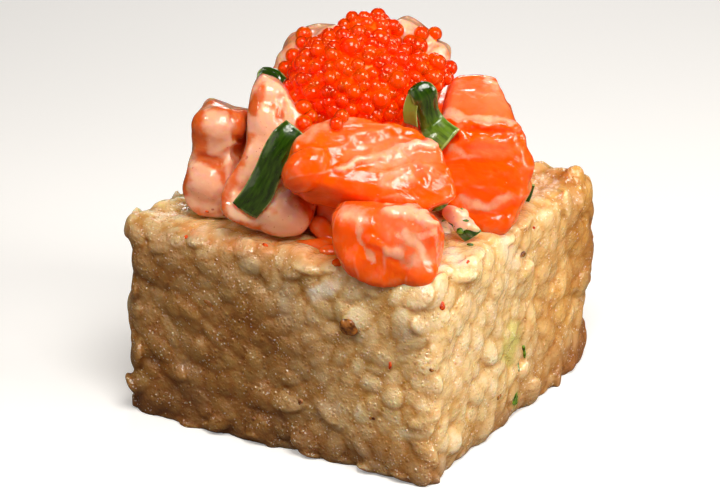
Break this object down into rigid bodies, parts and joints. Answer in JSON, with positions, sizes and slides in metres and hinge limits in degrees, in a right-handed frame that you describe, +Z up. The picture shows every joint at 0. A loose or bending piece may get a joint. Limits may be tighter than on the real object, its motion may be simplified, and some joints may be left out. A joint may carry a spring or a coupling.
{
  "type": "crispy rice sushi",
  "caption": "Square block of pressed, fried sushi rice under a heap of diced salmon in pink sauce, scallion strips and a mound of orange fish roe.",
  "frame": {"origin": "centre of the rice block's flat underside", "axes": "+Z up through the block and the heap; -Y and +X are the two block sides that the picture shows, left and right"},
  "size_m": [0.0495, 0.0511, 0.0537],
  "materials": {
    "fried_rice": "glossy translucent grains of fried rice, browner at the corners and the foot",
    "salmon": "moist raw salmon, orange with pale fat lines",
    "sauced_salmon": "salmon under a thin creamy pink sauce with red specks",
    "scallion": "moist dark green stem with a paler cut edge",
    "roe": "clear orange eggs with deep red hearts"
  },
  "bodies": {
    "root": {"rice_block": "fried_rice", "roe": "roe", "salmon_front_upper": "salmon", "salmon_front_lower": "salmon", "salmon_right": "salmon", "salmon_left_tall": "sauced_salmon", "salmon_left": "sauced_salmon", "salmon_back_left": "sauced_salmon", "salmon_back_right": "sauced_salmon", "salmon_rear_left": "sauced_salmon", "salmon_rear_right": "salmon", "salmon_middle": "salmon", "salmon_centre": "salmon", "scallion_left": "scallion", "scallion_right": "scallion", "scallion_back": "scallion", "scallion_corner": "scallion", "scallion_far_right": "scallion"}
  },
  "joints": []
}
